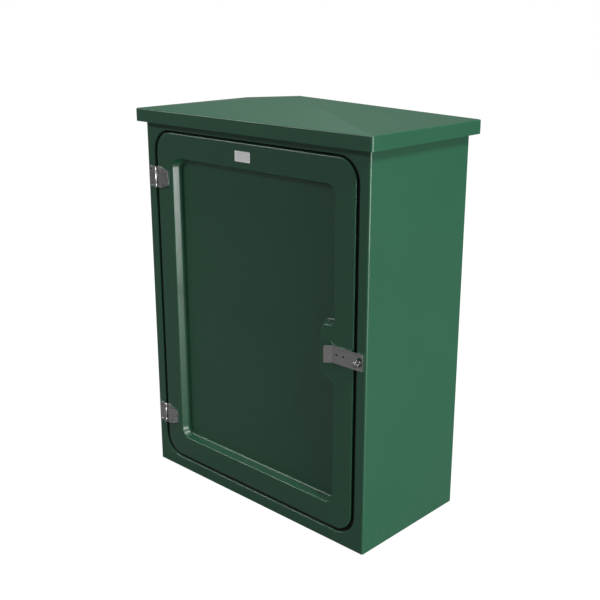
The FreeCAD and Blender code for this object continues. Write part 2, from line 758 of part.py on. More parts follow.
def copies(label, source, places):
    """One node of identical fasteners, a copy of the source at each place."""
    group = doc.addObject("Part::Compound", label)
    group.Label = label
    for count, place in enumerate(places, start=1):
        copy = doc.addObject("App::Link", f"{label}_{count}")
        copy.LinkedObject = source
        copy.Placement = FreeCAD.Placement(FreeCAD.Vector(), FreeCAD.Rotation(FreeCAD.Vector(1, 0, 0), 90))
        for axis, formula in zip("xyz", place):
            copy.setExpression(f".Placement.Base.{axis}", bound(formula))
        group.Links = group.Links + [copy]
    doc.recompute()
    parts.append(group)


def make_fasteners():
    """The screws, washers and nuts that hold the hinges and the hasp, at their places."""
    screw = draw_screw("countersunk_screw", "screw_length")
    washer = draw_washer("plain_washer", "washer_outside / 2", hole_radius, "washer_thickness")
    nut = draw_nut("hexagon_nut", "nut_flats", "screw_diameter / 2 + thread_clearance", "nut_thickness")
    frame_places = [(f"{axis_x} + {x}", f"{height} + {z}") for height in hinge_heights
                    for x, z in frame_screw_places]
    door_places = [(f"{axis_x} + {x}", f"{height} + {z}") for height in hinge_heights
                   for x, z in door_screw_places]
    hasp_places = [(x, lock_height) for x in hasp_screw_places]
    on_leaf = f"({axis_y} + {leaf_front})"
    on_hasp = f"({front} - pad_height - hasp_thickness)"
    for name, places, head_face, thickness in (("hinge_frame", frame_places, on_leaf, "wall"),
                                               ("hinge_door", door_places, on_leaf, "skin"),
                                               ("hasp", hasp_places, on_hasp, "skin")):
        behind = f"{front} + {thickness}"
        copies(f"{name}_screws", screw, [(x, head_face, z) for x, z in places])
        copies(f"{name}_washers", washer, [(x, behind, z) for x, z in places])
        copies(f"{name}_nuts", nut, [(x, f"{behind} + washer_thickness", z) for x, z in places])


def make_hasp():
    """A steel strip, slotted over the staple, with its free end bent out as a pull tab."""
    body = new_body("hasp", hasp_bend_x, f"{front} - pad_height", lock_height)
    strip = sketch_on(body, "hasp_strip", "XY_Plane")
    staple_from_bend = f"({staple_x} - {hasp_bend_x})"
    plate_end = f"({staple_from_bend} + hasp_end)"
    inside_bend = "hasp_thickness * tan(tab_angle / 2)"
    tab_x, tab_y = "-tab_length * cos(tab_angle)", "-tab_length * sin(tab_angle)"
    draw_polygon(strip, [(plate_end, "0"), ("0", "0"), (tab_x, tab_y),
                         (f"{tab_x} + hasp_thickness * sin(tab_angle)",
                          f"{tab_y} - hasp_thickness * cos(tab_angle)"),
                         (inside_bend, "-hasp_thickness"), (plate_end, "-hasp_thickness")])
    pad(body, strip, "hasp_height", centred=True)

    def upright_at(x, y):
        at_x, at_y = lies_at("x", x), lies_at("y", y)
        return lambda edge: at_x(edge) and at_y(edge)

    dress(body, "Fillet", "hasp_bend_inner", "hasp_bend_inside", upright_at(inside_bend, "-hasp_thickness"))
    dress(body, "Fillet", "hasp_bend_outer", "hasp_bend_inside + hasp_thickness", upright_at("0", "0"))
    tab_end = number(f"{tab_x} + hasp_thickness * sin(tab_angle)") + match
    plate_tip = number(plate_end) - match
    half = number("hasp_height / 2")
    dress(body, "Fillet", "hasp_corners", "hasp_corner",
          lambda edge: (edge.BoundBox.XMax < tab_end or edge.BoundBox.XMin > plate_tip)
          and min(abs(edge.BoundBox.ZMin), abs(edge.BoundBox.ZMax)) > half - match
          and edge.BoundBox.ZLength < match)
    cuts = sketch_on(body, "hasp_cuts", "XZ_Plane")
    draw_rectangle(cuts, f"{staple_from_bend} - slot_width / 2", f"{staple_from_bend} + slot_width / 2",
                   "-slot_height / 2", "slot_height / 2", "(slot_width - slot_flat) / 2")
    for x in ("hasp_screw_inner", "hasp_screw_outer"):
        draw_circle(cuts, x, "0", hole_radius)
    pocket(body, cuts)
    dress(body, "Chamfer", "hasp_countersinks", countersink,
          both(is_hole(hole_radius), lies_at("y", "-hasp_thickness")))
    parts.append(body)


def make_staple():
    """The padlock staple: an eye on a round neck that turns in the frame, held by a washer and a nut."""
    place = {"x": staple_x, "y": front, "z": lock_height, "turn": 90}
    body = new_body("staple_eye", **place)
    shoulder = "(pad_height - hasp_clearance + staple_clearance)"
    washer_face = "(wall + staple_clearance)"
    shank_tip = f"({washer_face} + staple_washer_thickness + staple_nut_thickness + shank_end)"
    half = sketch_on(body, "neck_half", "XZ_Plane")
    draw_polygon(half, [("0", "neck_top"), ("neck_diameter / 2 - neck_edge", "neck_top"),
                        ("neck_diameter / 2", "neck_top - neck_edge"), ("neck_diameter / 2", shoulder),
                        ("shank_diameter / 2", shoulder), ("shank_diameter / 2", f"-{shank_tip}"),
                        ("0", f"-{shank_tip}")])
    turn_profile(body, half, "V_Axis")
    ring = sketch_on(body, "eye_section", "XZ_Plane")
    ring.setExpression("AttachmentOffset.Base.y", bound("eye_reach"))
    draw_rectangle(ring, "-eye_thickness / 2", "eye_thickness / 2", "eye_hole / 2", "eye_radius",
                   "eye_edge")
    turn_profile(body, ring, "H_Axis")
    parts.append(body)

    place["y"] = f"{front} + {washer_face}"
    parts.append(draw_washer("staple_washer", "staple_washer_outside / 2",
                             "shank_diameter / 2 + pin_clearance", "staple_washer_thickness", **place))
    place["y"] = f"{front} + {washer_face} + staple_washer_thickness"
    parts.append(draw_nut("staple_nut", "staple_nut_flats", "shank_diameter / 2 + thread_clearance",
                          "staple_nut_thickness", **place))


def make_label_plate():
    """A plain plate with a raised border, stuck to the door's top rail."""
    body = new_body("label_plate", "-label_offset", front, f"{door_top} - label_drop")
    plate = sketch_on(body, "label_outline", "XZ_Plane")
    width, height = "label_width / 2", "label_height / 2"
    draw_rectangle(plate, f"-{width}", width, f"-{height}", height, "label_corner")
    pad(body, plate, "label_thickness")
    field = sketch_on(body, "label_sunk_field", "XZ_Plane", "label_thickness")
    draw_rectangle(field, f"-{width} + label_border", f"{width} - label_border", f"-{height} + label_border",
                   f"{height} - label_border")
    pocket(body, field, "label_field")
    parts.append(body)


def make_backboard():
    """The plywood board that equipment is screwed to, on two battens bonded to the back wall."""
    body = new_body("backboard")
    sheet_outline = sketch_on(body, "board_outline", "XZ_Plane", f"-{board_back}")
    draw_rectangle(sheet_outline, "-board_width / 2", "board_width / 2", "board_foot",
                   f"board_foot + {board_height}")
    pad(body, sheet_outline, "board_thickness")
    holes = sketch_on(body, "board_holes", "XZ_Plane", f"-{board_back}")
    for sign in ("", "-"):
        for z in board_screw_heights:
            draw_circle(holes, f"{sign}{batten_x}", z, hole_radius)
    pocket(body, holes)
    dress(body, "Chamfer", "board_countersinks", countersink,
          both(is_hole(hole_radius), lies_at("y", board_front)))
    parts.append(body)

    for side, sign in (("left", "-"), ("right", "")):
        batten = new_body(f"{side}_batten", f"{sign}{batten_x}", board_back, "board_foot + batten_short")
        strip = sketch_on(batten, f"{side}_batten_section", "XY_Plane")
        draw_rectangle(strip, "-batten_width / 2", "batten_width / 2", "0", "batten_depth")
        pad(batten, strip, f"{board_height} - 2 * batten_short")
        pilots = sketch_on(batten, f"{side}_batten_pilots", "XZ_Plane")
        for z in board_screw_heights:
            draw_circle(pilots, "0", f"{z} - board_foot - batten_short",
                        "screw_diameter / 2 + thread_clearance")
        pocket(batten, pilots, "board_screw_length - board_thickness + thread_clearance")
        parts.append(batten)

    copies("backboard_screws", draw_screw("board_screw", "board_screw_length"),
           [(f"{sign}{batten_x}", board_front, z) for sign in ("", "-") for z in board_screw_heights])


make_body_shell()
make_roof_canopy()
make_door_seal()
make_door()
for side, height in hinges:
    make_frame_leaf(side, height)
    make_door_leaf(side, height)
    make_hinge_pin(side, height)
make_hasp()
make_staple()
make_fasteners()
make_label_plate()
make_backboard()
doc.recompute()

for item in doc.Objects:
    if "Invalid" in item.State or "Error" in item.State:
        raise RuntimeError(f"{item.Label} did not build: {item.State}")
os.makedirs("parts", exist_ok=True)
for part in parts:
    if part.Shape.isNull() or not part.Shape.isValid() or not part.Shape.Solids:
        raise RuntimeError(f"{part.Label} has no valid solid")
    part.Shape.exportStep(f"parts/{part.Label}.step")
    print(part.Label, len(part.Shape.Solids), round(part.Shape.Volume))
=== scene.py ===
import math
import bpy
from mathutils import Matrix, Vector


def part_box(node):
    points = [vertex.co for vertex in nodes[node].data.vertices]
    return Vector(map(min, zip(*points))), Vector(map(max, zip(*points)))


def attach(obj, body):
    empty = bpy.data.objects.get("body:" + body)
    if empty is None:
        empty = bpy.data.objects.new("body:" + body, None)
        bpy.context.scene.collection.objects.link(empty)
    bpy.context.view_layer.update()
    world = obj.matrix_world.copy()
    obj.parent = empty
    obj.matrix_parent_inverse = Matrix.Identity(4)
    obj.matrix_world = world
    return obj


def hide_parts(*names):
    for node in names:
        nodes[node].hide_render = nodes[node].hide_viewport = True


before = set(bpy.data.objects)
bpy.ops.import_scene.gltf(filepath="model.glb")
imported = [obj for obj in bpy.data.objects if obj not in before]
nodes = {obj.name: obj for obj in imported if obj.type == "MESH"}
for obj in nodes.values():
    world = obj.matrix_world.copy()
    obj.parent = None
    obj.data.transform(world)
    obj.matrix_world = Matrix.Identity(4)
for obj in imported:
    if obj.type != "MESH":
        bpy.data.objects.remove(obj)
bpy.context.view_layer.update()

scene = bpy.context.scene
print("frame loaded:", len(nodes), "nodes")


# small helpers for node trees; x and y only lay the nodes out in the editor

def addNode(tree, kind, x, y, **settings):
    node = tree.nodes.new("ShaderNode" + kind)
    node.location = (x, y)
    for name, value in settings.items():
        setattr(node, name, value)
    return node


def feed(tree, value, socket):
    # value is another node's output, or a plain number, colour or vector
    if isinstance(value, bpy.types.NodeSocket):
        tree.links.new(value, socket)
    else:
        socket.default_value = value


def calc(tree, operation, first, second=None, x=0, y=0, third=None, clamp=False):
    node = addNode(tree, "Math", x, y, operation=operation, use_clamp=clamp)
    for socket, value in zip(node.inputs, (first, second, third)):
        if value is not None:
            feed(tree, value, socket)
    return node.outputs[0]


def remap(tree, value, fromLow, fromHigh, toLow, toHigh, x=0, y=0, smooth=False):
    node = addNode(tree, "MapRange", x, y, interpolation_type="SMOOTHSTEP" if smooth else "LINEAR")
    for socket, amount in zip(node.inputs[:5], (value, fromLow, fromHigh, toLow, toHigh)):
        feed(tree, amount, socket)
    return node.outputs[0]


def blendColours(tree, factor, first, second, x=0, y=0):
    node = addNode(tree, "Mix", x, y, data_type="RGBA")
    feed(tree, factor, node.inputs["Factor"])
    feed(tree, first, node.inputs[6])
    feed(tree, second, node.inputs[7])
    return node.outputs[2]


def noise(tree, vector, scale, detail, roughness, x=0, y=0, distortion=0.0):
    node = addNode(tree, "TexNoise", x, y)
    feed(tree, vector, node.inputs["Vector"])
    for name, value in (("Scale", scale), ("Detail", detail), ("Roughness", roughness),
                        ("Distortion", distortion)):
        feed(tree, value, node.inputs[name])
    return node.outputs["Fac"]


def stretched(tree, vector, scale, x=0, y=0, turn=(0, 0, 0)):
    node = addNode(tree, "Mapping", x, y)
    feed(tree, vector, node.inputs["Vector"])
    node.inputs["Scale"].default_value = scale
    node.inputs["Rotation"].default_value = turn
    return node.outputs["Vector"]


def splitAxes(tree, vector, x, y):
    node = addNode(tree, "SeparateXYZ", x, y)
    feed(tree, vector, node.inputs[0])
    return node.outputs


def between(tree, value, low, high, y):
    above = calc(tree, "GREATER_THAN", value, low, -900, y)
    below = calc(tree, "LESS_THAN", value, high, -900, y - 60)
    return calc(tree, "MULTIPLY", above, below, -700, y)


def surfaceNormal(tree, x, y):
    return addNode(tree, "NewGeometry", x, y).outputs["Normal"]


def newGroup(name, inputs, outputs):
    group = bpy.data.node_groups.new(name, "ShaderNodeTree")
    for socketName, kind, value in inputs:
        socket = group.interface.new_socket(name=socketName, in_out="INPUT", socket_type="NodeSocket" + kind)
        if value is not None:
            socket.default_value = value
    for socketName in outputs:
        group.interface.new_socket(name=socketName, in_out="OUTPUT", socket_type="NodeSocketFloat")
    start = group.nodes.new("NodeGroupInput")
    start.location = (-1200, 0)
    end = group.nodes.new("NodeGroupOutput")
    end.location = (600, 0)
    return group, start.outputs, end.inputs


def useGroup(tree, group, x, y, values):
    node = addNode(tree, "Group", x, y, node_tree=group)
    for name, value in values.items():
        feed(tree, value, node.inputs[name])
    return node.outputs


def newMaterial(name):
    material = bpy.data.materials.new(name)
    material.use_nodes = True
    tree = material.node_tree
    shader = tree.nodes["Principled BSDF"]
    shader.location = (600, 0)
    tree.nodes["Material Output"].location = (900, 0)
    place = addNode(tree, "TexCoord", -1400, 0).outputs["Object"]
    return material, tree, shader, place


def addBump(tree, shader, height, distance, strength=1.0):
    bump = addNode(tree, "Bump", 350, -350)
    bump.inputs["Distance"].default_value = distance
    bump.inputs["Strength"].default_value = strength
    feed(tree, height, bump.inputs["Height"])
    feed(tree, bump.outputs["Normal"], shader.inputs["Normal"])


# surface effects that several materials share

def makeEdgeRub():
    # where an edge is worn pale: the bevelled normal leaves the true one, broken up by noise
    group, given, put = newGroup("edgeRub", [("Vector", "Vector", None), ("Radius", "Float", 0.002),
                                             ("Start", "Float", 0.03), ("Full", "Float", 0.3),
                                             ("Patch Scale", "Float", 30.0)], ["Mask"])
    bevel = addNode(group, "Bevel", -900, 200, samples=4)
    feed(group, given["Radius"], bevel.inputs["Radius"])
    dot = addNode(group, "VectorMath", -700, 100, operation="DOT_PRODUCT")
    feed(group, bevel.outputs[0], dot.inputs[0])
    feed(group, surfaceNormal(group, -900, 0), dot.inputs[1])
    turned = calc(group, "SUBTRACT", 1.0, dot.outputs["Value"], -500, 100)
    edge = remap(group, turned, given["Start"], given["Full"], 0.0, 1.0, -300, 100, smooth=True)
    patches = noise(group, given["Vector"], given["Patch Scale"], 6.0, 0.65, -500, -200)
    worn = remap(group, patches, 0.35, 0.7, 0.15, 1.0, -300, -200, smooth=True)
    feed(group, calc(group, "MULTIPLY", edge, worn, 0, 0, clamp=True), put["Mask"])
    return group


def makeToneDrift():
    # slow cloudy change of shade over a large face, two thirds of it broad and one third fine
    group, given, put = newGroup("toneDrift", [("Vector", "Vector", None), ("Scale", "Float", 3.0),
                                               ("Fine Scale", "Float", 40.0)], ["Fac"])
    slow = noise(group, given["Vector"], given["Scale"], 4.0, 0.55, -600, 100)
    fine = noise(group, given["Vector"], given["Fine Scale"], 5.0, 0.6, -600, -150)
    total = calc(group, "MULTIPLY_ADD", slow, 0.65, -100, 0, third=calc(group, "MULTIPLY", fine, 0.35, -300, 0))
    feed(group, remap(group, total, 0.3, 0.7, 0.0, 1.0, 200, 0), put["Fac"])
    return group


def makeSettledDust():
    # dust on faces that look up, and thin splashes near the ground
    group, given, put = newGroup("settledDust", [("Vector", "Vector", None), ("Splash Height", "Float", 0.12),
                                                 ("Top Amount", "Float", 0.5), ("Splash Amount", "Float", 0.5)],
                                 ["Mask"])
    facing = splitAxes(group, surfaceNormal(group, -900, 200), -700, 200)
    upward = remap(group, facing["Z"], 0.3, 0.95, 0.0, 1.0, -500, 200)
    specks = noise(group, given["Vector"], 90.0, 8.0, 0.7, -700, -50)
    thick = remap(group, specks, 0.4, 0.75, 0.0, 1.0, -500, -50)
    top = calc(group, "MULTIPLY", calc(group, "MULTIPLY", upward, thick, -300, 100), given["Top Amount"], -100, 100)
    at = splitAxes(group, given["Vector"], -900, -250)
    low = remap(group, at["Z"], 0.0, given["Splash Height"], 1.0, 0.0, -700, -300, smooth=True)
    drops = noise(group, stretched(group, given["Vector"], (1, 1, 0.35), -900, -500), 45.0, 7.0, 0.7, -700, -500)
    drops = remap(group, drops, 0.42, 0.72, 0.0, 1.0, -500, -500)
    splash = calc(group, "MULTIPLY", calc(group, "MULTIPLY", low, drops, -300, -300), given["Splash Amount"],
                  -100, -300)
    feed(group, calc(group, "MAXIMUM", top, splash, 200, 0), put["Mask"])
    return group


def makeStrandMat():
    # chopped glass strands under a brushed resin coat, on the rough side of the moulding
    group, given, put = newGroup("strandMat", [("Vector", "Vector", None), ("Scale", "Float", 1.0)],
                                 ["Height", "Tone"])
    scaled = addNode(group, "VectorMath", -1000, 0, operation="SCALE")
    feed(group, given["Vector"], scaled.inputs[0])
    feed(group, given["Scale"], scaled.inputs["Scale"])
    layers = []
    for step, turn in enumerate(((0.4, 0.2, 0.3), (1.5, 0.9, 2.0), (2.4, 2.2, 1.1), (0.9, 2.9, 2.6))):
        y = 500 - 300 * step
        laid = stretched(group, scaled.outputs[0], (30, 420, 420), -800, y, turn)
        strands = noise(group, laid, 1.0, 2.0, 0.4, -600, y, 0.6)
        layers.append(remap(group, strands, 0.56, 0.66, 0.0, 1.0, -400, y, smooth=True))
    top = calc(group, "MAXIMUM", calc(group, "MAXIMUM", layers[0], layers[1], -200, 200),
               calc(group, "MAXIMUM", layers[2], layers[3], -200, -200), 0, 0)
    swell = calc(group, "MULTIPLY", noise(group, scaled.outputs[0], 25.0, 2.0, 0.5, -1000, -300), 0.8, 0, -300)
    feed(group, calc(group, "ADD", calc(group, "MULTIPLY", top, 0.45, 200, 100), swell, 400, 0), put["Height"])
    feed(group, top, put["Tone"])
    return group


def makeGrainRings():
    # long grain running up the board: growth rings cut at a slant, fine streaks and pores
    group, given, put = newGroup("grainRings", [("Vector", "Vector", None), ("Ring Scale", "Float", 12.0),
                                                ("Ring Count", "Float", 9.0)], ["Fac", "Pores"])
    slow = noise(group, stretched(group, given["Vector"], (1, 1, 0.14), -1000, 200), given["Ring Scale"],
                 2.0, 0.4, -800, 200, 0.3)
    rings = calc(group, "PINGPONG", calc(group, "MULTIPLY", slow, given["Ring Count"], -600, 200), 0.5, -400, 200)
    lines = remap(group, rings, 0.0, 0.5, 0.0, 1.0, -200, 200, smooth=True)
    streaks = noise(group, stretched(group, given["Vector"], (1, 1, 0.03), -1000, -100), 320.0,
                    4.0, 0.6, -800, -100)
    feed(group, calc(group, "MULTIPLY_ADD", lines, 0.55, 0, 0,
                     third=calc(group, "MULTIPLY", streaks, 0.45, -400, -100)), put["Fac"])
    pores = noise(group, stretched(group, given["Vector"], (60, 60, 3), -1000, -450), 6.0, 5.0, 0.7, -800, -450)
    feed(group, remap(group, pores, 0.5, 0.72, 0.0, 1.0, -300, -450, smooth=True), put["Pores"])
    return group


edgeRub = makeEdgeRub()
toneDrift = makeToneDrift()
settledDust = makeSettledDust()
strandMat = makeStrandMat()
grainRings = makeGrainRings()
print("shared effects made")


# finishes, each with its own numbers

gelCoat = {
    "deep": (0.0060, 0.0610, 0.0285, 1),      # green, darker and lighter shades of the drift
    "bright": (0.0068, 0.0670, 0.0312, 1),
    "rubbed": (0.0400, 0.1500, 0.0900, 1),    # worn edges
    "dust": (0.1900, 0.2100, 0.1700, 1),
    "resin": (0.0120, 0.0700, 0.0380, 1),     # brushed coat on the inside
    "strand": (0.0300, 0.1050, 0.0650, 1),
    "driftScale": 2.2,
    "edgeRadius": 0.0012,
    "rubScale": 22.0,
    "rubAmount": 0.15,
    "wallDust": 0.04,                         # dust on what looks up, on the body and door, and on the roof
    "roofDust": 0.06,
    "splash": 0.05,
    "roughness": (0.41, 0.45),
    "roughnessScale": 9.0,
    "dulled": 0.25,                           # added to the roughness on dust and on the inside
    "coat": (0.22, 0.30),                     # how much clear shine lies on top, and how rough it is
    "specular": 0.5,
    "peelScale": 260.0,                       # fine ripple of the moulded side, and its share of the relief
    "peel": 0.04,
    "relief": 0.0008,
}


def makeGelCoat(name, roughSide, dustTop):
    # roughSide(tree, place) gives the mask of the faces that never touched the mould
    material, tree, shader, place = newMaterial(name)
    look = gelCoat
    drift = useGroup(tree, toneDrift, -900, 300, {"Vector": place, "Scale": look["driftScale"]})["Fac"]
    rub = useGroup(tree, edgeRub, -900, 100, {"Vector": place, "Radius": look["edgeRadius"],
                                              "Patch Scale": look["rubScale"]})["Mask"]
    dust = useGroup(tree, settledDust, -900, -100, {"Vector": place, "Top Amount": dustTop,
                                                    "Splash Amount": look["splash"]})["Mask"]
    mat = useGroup(tree, strandMat, -900, -350, {"Vector": place})
    inner = roughSide(tree, place)
    smooth = blendColours(tree, drift, look["deep"], look["bright"], -600, 300)
    smooth = blendColours(tree, calc(tree, "MULTIPLY", rub, look["rubAmount"], -600, 120), smooth,
                          look["rubbed"], -400, 250)
    coarse = blendColours(tree, mat["Tone"], look["resin"], look["strand"], -400, 0)
    colour = blendColours(tree, inner, smooth, coarse, -200, 200)
    feed(tree, blendColours(tree, dust, colour, look["dust"], 0, 200), shader.inputs["Base Color"])
    dull = calc(tree, "MAXIMUM", inner, dust, -400, -500)
    gloss = remap(tree, noise(tree, place, look["roughnessScale"], 5.0, 0.6, -900, -600), 0.3, 0.7,
                  *look["roughness"], -600, -600)
    feed(tree, calc(tree, "ADD", gloss, calc(tree, "MULTIPLY", dull, look["dulled"], -300, -500), -150, -500,
                    clamp=True), shader.inputs["Roughness"])
    feed(tree, calc(tree, "MULTIPLY", calc(tree, "SUBTRACT", 1.0, dull, -200, -700), look["coat"][0], 0, -700,
                    clamp=True), shader.inputs["Coat Weight"])
    shader.inputs["Coat Roughness"].default_value = look["coat"][1]
    shader.inputs["Specular IOR Level"].default_value = look["specular"]
    ripple = calc(tree, "MULTIPLY", noise(tree, place, look["peelScale"], 2.0, 0.4, -900, -850), look["peel"],
                  -600, -850)
    bent = addNode(tree, "Mix", 0, -600, data_type="FLOAT")
    feed(tree, inner, bent.inputs["Factor"])
    feed(tree, ripple, bent.inputs[2])
    feed(tree, mat["Height"], bent.inputs[3])
    addBump(tree, shader, bent.outputs[0], look["relief"])
    return material


roughFrom = {
    # how far in from the outside of each moulding the rough side starts
    "body": (0.0035, 0.0040, 0.0015),
    "door": 0.0020,
    "roof": 0.0025,
}


def insetBox(node, margin):
    low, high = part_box(node)
    return [value + margin for value in low], [value - margin for value in high]


def bodyRoughSide(tree, place):
    # inside the walls, but not the smooth returns of the door opening
    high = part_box("body_shell")[1]
    side, back, top = (high[axis] - roughFrom["body"][axis] for axis in range(3))
    at = splitAxes(tree, place, -1200, -1100)
    within = calc(tree, "MULTIPLY", between(tree, at["X"], -side, side, -1100),
                  between(tree, at["Y"], -back, back, -1250), -500, -1150)
    return calc(tree, "MULTIPLY", within, calc(tree, "LESS_THAN", at["Z"], top, -700, -1400), -300, -1200)


def doorRoughSide(tree, place):
    # faces that look back, and all inside the rim but what looks forward
    # the normal is the world's, so this holds with the door shut: folded back, its two sides change places
    low, high = insetBox("door", roughFrom["door"])
    facing = splitAxes(tree, surfaceNormal(tree, -1400, -1300), -1200, -1300)["Y"]
    behind = calc(tree, "GREATER_THAN", facing, 0.04, -900, -1300)
    at = splitAxes(tree, place, -1200, -1500)
    tray = calc(tree, "MULTIPLY", between(tree, at["X"], low[0], high[0], -1500),
                between(tree, at["Z"], low[2], high[2], -1650), -500, -1550)
    upright = calc(tree, "GREATER_THAN", facing, -0.02, -900, -1800)
    return calc(tree, "MAXIMUM", behind, calc(tree, "MULTIPLY", tray, upright, -300, -1600), -100, -1400)


def roofRoughSide(tree, place):
    # faces that look down, and all inside the fascia but what looks up
    low, high = insetBox("roof_canopy", roughFrom["roof"])
    facing = splitAxes(tree, surfaceNormal(tree, -1400, -1300), -1200, -1300)["Z"]
    under = calc(tree, "LESS_THAN", facing, -0.2, -900, -1300)
    at = splitAxes(tree, place, -1200, -1500)
    within = calc(tree, "MULTIPLY", between(tree, at["X"], low[0], high[0], -1500),
                  between(tree, at["Y"], low[1], high[1], -1650), -500, -1550)
    upright = calc(tree, "LESS_THAN", facing, 0.05, -900, -1800)
    return calc(tree, "MAXIMUM", under, calc(tree, "MULTIPLY", within, upright, -300, -1600), -100, -1400)


metal = {
    "rolled": {"dark": (0.32, 0.32, 0.32, 1), "light": (0.42, 0.42, 0.42, 1), "roughness": (0.26, 0.36),
               "marks": (8, 8, 260), "edgeRadius": 0.0006},
    "eye": {"dark": (0.13, 0.13, 0.13, 1), "light": (0.26, 0.26, 0.26, 1), "roughness": (0.30, 0.42),
            "marks": (90, 90, 90), "edgeRadius": 0.0006},
    # near-black heads: a dark finish, and painted shade of the deep countersinks as well
    "screw": {"dark": (0.03, 0.03, 0.03, 1), "light": (0.07, 0.07, 0.07, 1), "roughness": (0.36, 0.50),
              "marks": (160, 160, 160), "edgeRadius": 0.0002},
    "bright": {"dark": (0.42, 0.42, 0.43, 1), "light": (0.58, 0.58, 0.59, 1), "roughness": (0.22, 0.34),
               "marks": (120, 120, 120), "edgeRadius": 0.0006},
    # the same on every one
    "rubbed": (0.75, 0.75, 0.76, 1), "rubScale": 160.0, "rubAmount": 0.6,
    "blotchScale": 35.0, "fineBlotchScale": 300.0, "relief": 0.00005,
}


def makeMetal(name, kind):
    material, tree, shader, place = newMaterial(name)
    look = metal[kind]
    marks = noise(tree, stretched(tree, place, look["marks"], -1100, 200), 4.0, 5.0, 0.65, -900, 200)
    blotch = useGroup(tree, toneDrift, -900, -50, {"Vector": place, "Scale": metal["blotchScale"],
                                                   "Fine Scale": metal["fineBlotchScale"]})["Fac"]
    rub = useGroup(tree, edgeRub, -900, -250, {"Vector": place, "Radius": look["edgeRadius"],
                                               "Patch Scale": metal["rubScale"]})["Mask"]
    tone = calc(tree, "MULTIPLY_ADD", marks, 0.5, -600, 100,
                third=calc(tree, "MULTIPLY", blotch, 0.5, -750, -50))
    colour = blendColours(tree, tone, look["dark"], look["light"], -400, 100)
    feed(tree, blendColours(tree, calc(tree, "MULTIPLY", rub, metal["rubAmount"], -600, -250), colour,
                            metal["rubbed"], -200, 100), shader.inputs["Base Color"])
    shader.inputs["Metallic"].default_value = 1.0
    feed(tree, remap(tree, tone, 0.2, 0.8, *look["roughness"], -400, -300), shader.inputs["Roughness"])
    addBump(tree, shader, marks, metal["relief"], 0.5)
    return material


rubber = {
    "dark": (0.006, 0.006, 0.006, 1), "light": (0.012, 0.012, 0.012, 1), "dust": (0.10, 0.10, 0.09, 1),
    "driftScale": 12.0, "fineDriftScale": 200.0, "dustTop": 0.1, "splash": 0.2,
    "roughness": (0.62, 0.78), "specular": 0.2, "grainScale": 900.0, "relief": 0.00005,
}


def makeRubber():
    material, tree, shader, place = newMaterial("sealRubber")
    drift = useGroup(tree, toneDrift, -900, 200, {"Vector": place, "Scale": rubber["driftScale"],
                                                  "Fine Scale": rubber["fineDriftScale"]})["Fac"]
    dust = useGroup(tree, settledDust, -900, -100, {"Vector": place, "Top Amount": rubber["dustTop"],
                                                    "Splash Amount": rubber["splash"]})["Mask"]
    colour = blendColours(tree, drift, rubber["dark"], rubber["light"], -500, 200)
    feed(tree, blendColours(tree, dust, colour, rubber["dust"], -200, 200), shader.inputs["Base Color"])
    feed(tree, remap(tree, drift, 0.0, 1.0, *rubber["roughness"], -500, -100), shader.inputs["Roughness"])
    shader.inputs["Specular IOR Level"].default_value = rubber["specular"]
    addBump(tree, shader, noise(tree, place, rubber["grainScale"], 2.0, 0.5, -500, -300), rubber["relief"])
    return material


label = {
    "plate": (0.90, 0.90, 0.92, 1), "scuffed": (0.84, 0.84, 0.86, 1), "border": (0.97, 0.97, 0.98, 1),
    "borderWidth": 0.0022, "borderSoft": 0.0002, "brushing": (20, 900, 900),
    "driftScale": 40.0, "fineDriftScale": 260.0, "scuffAmount": 0.6,
    "roughness": (0.32, 0.42), "coat": (0.3, 0.2), "relief": 0.0002,
}


def makeLabelPlate():
    # a plain painted plate: pale face with a lighter border that looks raised
    material, tree, shader, place = newMaterial("labelPlatePaint")
    low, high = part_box("label_plate")
    brushed = noise(tree, stretched(tree, place, label["brushing"], -1100, 200), 2.0, 4.0, 0.6, -900, 200)
    drift = useGroup(tree, toneDrift, -900, -50, {"Vector": place, "Scale": label["driftScale"],
                                                  "Fine Scale": label["fineDriftScale"]})["Fac"]
    at = splitAxes(tree, place, -1100, -300)
    inside = []
    for axis, y in ((0, -300), (2, -450)):
        centre, half = (low[axis] + high[axis]) / 2, (high[axis] - low[axis]) / 2 - label["borderWidth"]
        away = calc(tree, "ABSOLUTE", calc(tree, "SUBTRACT", at[axis], centre, -900, y), None, -750, y)
        inside.append(remap(tree, away, half - label["borderSoft"], half + label["borderSoft"], 1.0, 0.0,
                            -600, y, smooth=True))
    field = calc(tree, "MULTIPLY", inside[0], inside[1], -400, -350)
    colour = blendColours(tree, calc(tree, "MULTIPLY", drift, label["scuffAmount"], -600, -50),
                          label["plate"], label["scuffed"], -450, 200)
    feed(tree, blendColours(tree, field, label["border"], colour, -200, 200), shader.inputs["Base Color"])
    feed(tree, remap(tree, brushed, 0.3, 0.7, *label["roughness"], -300, -100), shader.inputs["Roughness"])
    shader.inputs["Coat Weight"].default_value, shader.inputs["Coat Roughness"].default_value = label["coat"]
    addBump(tree, shader, calc(tree, "MULTIPLY_ADD", brushed, 0.1, -200, -300,
                               third=calc(tree, "MULTIPLY", field, -1.0, -300, -450)), label["relief"])
    return material


plywood = {
    "early": (0.40, 0.26, 0.14, 1), "late": (0.55, 0.39, 0.235, 1), "pores": (0.20, 0.11, 0.055, 1),
    "poreAmount": 0.5, "ringScale": 5.5, "ringCount": 16.0, "roughness": (0.55, 0.8), "relief": 0.0001,
    "ply": 0.0024, "crossPly": (0.30, 0.18, 0.09, 1), "longPly": (0.55, 0.40, 0.25, 1),
}


